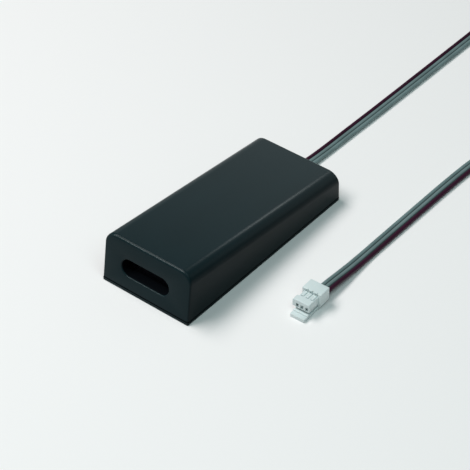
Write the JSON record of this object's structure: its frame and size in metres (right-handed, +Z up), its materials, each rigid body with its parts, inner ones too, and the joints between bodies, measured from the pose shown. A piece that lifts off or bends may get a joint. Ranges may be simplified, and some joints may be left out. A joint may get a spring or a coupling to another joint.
{
  "type": "infrared proximity sensor",
  "caption": "Wedge-shaped surface-mounted infrared proximity sensor with a slot window at its tall end and a flat lead ending in a small latching plug.",
  "frame": {"origin": "centre of the housing's underside, on the ground", "axes": "+X across the housing, +Y from the sensing face to the cable end, +Z up from the underside"},
  "size_m": [0.0851, 0.2905, 0.0216],
  "materials": {
    "housing": "satin moulded black plastic",
    "window": "polished infrared filter",
    "board": "solder mask",
    "matt_black": "matt",
    "clear_lens": "clear epoxy with a blue tint",
    "dark_lens": "dark epoxy",
    "screw": "zinc plated",
    "chip": "moulded epoxy",
    "can": "drawn can",
    "ceramic": "sintered",
    "resistor": "glazed",
    "solder": "reflowed solder",
    "red_wire": "extruded vinyl",
    "grey_wire": "extruded vinyl",
    "tie": "woven strap",
    "plug": "natural nylon",
    "terminal": "tin plated"
  },
  "bodies": {
    "base": {"base_plate": "housing", "circuit_board": "board", "optic_holder": "matt_black", "ir_emitter": "clear_lens", "ir_receiver": "dark_lens", "board_screw_1": "screw", "board_screw_2": "screw", "microcontroller": "chip", "output_transistor": "chip", "voltage_regulator": "chip", "protection_diode": "chip", "bulk_capacitor": "can", "ceramic_capacitor_1": "ceramic", "ceramic_capacitor_2": "ceramic", "ceramic_capacitor_3": "ceramic", "resistor_1": "resistor", "resistor_2": "resistor", "resistor_3": "resistor", "resistor_4": "resistor", "solder_joint_red": "solder", "solder_joint_grey_inner": "solder", "solder_joint_grey_outer": "solder", "inner_wire_red": "red_wire", "inner_wire_grey_inner": "grey_wire", "inner_wire_grey_outer": "grey_wire", "cable_clamp": "matt_black", "clamp_screw_1": "screw", "clamp_screw_2": "screw", "cable_outward": "grey_wire", "cable_return": "grey_wire", "cable_coil": "grey_wire", "coil_tie": "tie", "plug_housing": "plug", "crimp_terminal_1": "terminal", "crimp_terminal_2": "terminal", "crimp_terminal_3": "terminal"},
    "cover": {"cover": "housing", "sensor_window": "window"}
  },
  "joints": [
    {"name": "cover_lift", "type": "slide", "parent": "base", "child": "cover", "axis": [0, 0, 1], "range_m": [0, 0.02]}
  ]
}
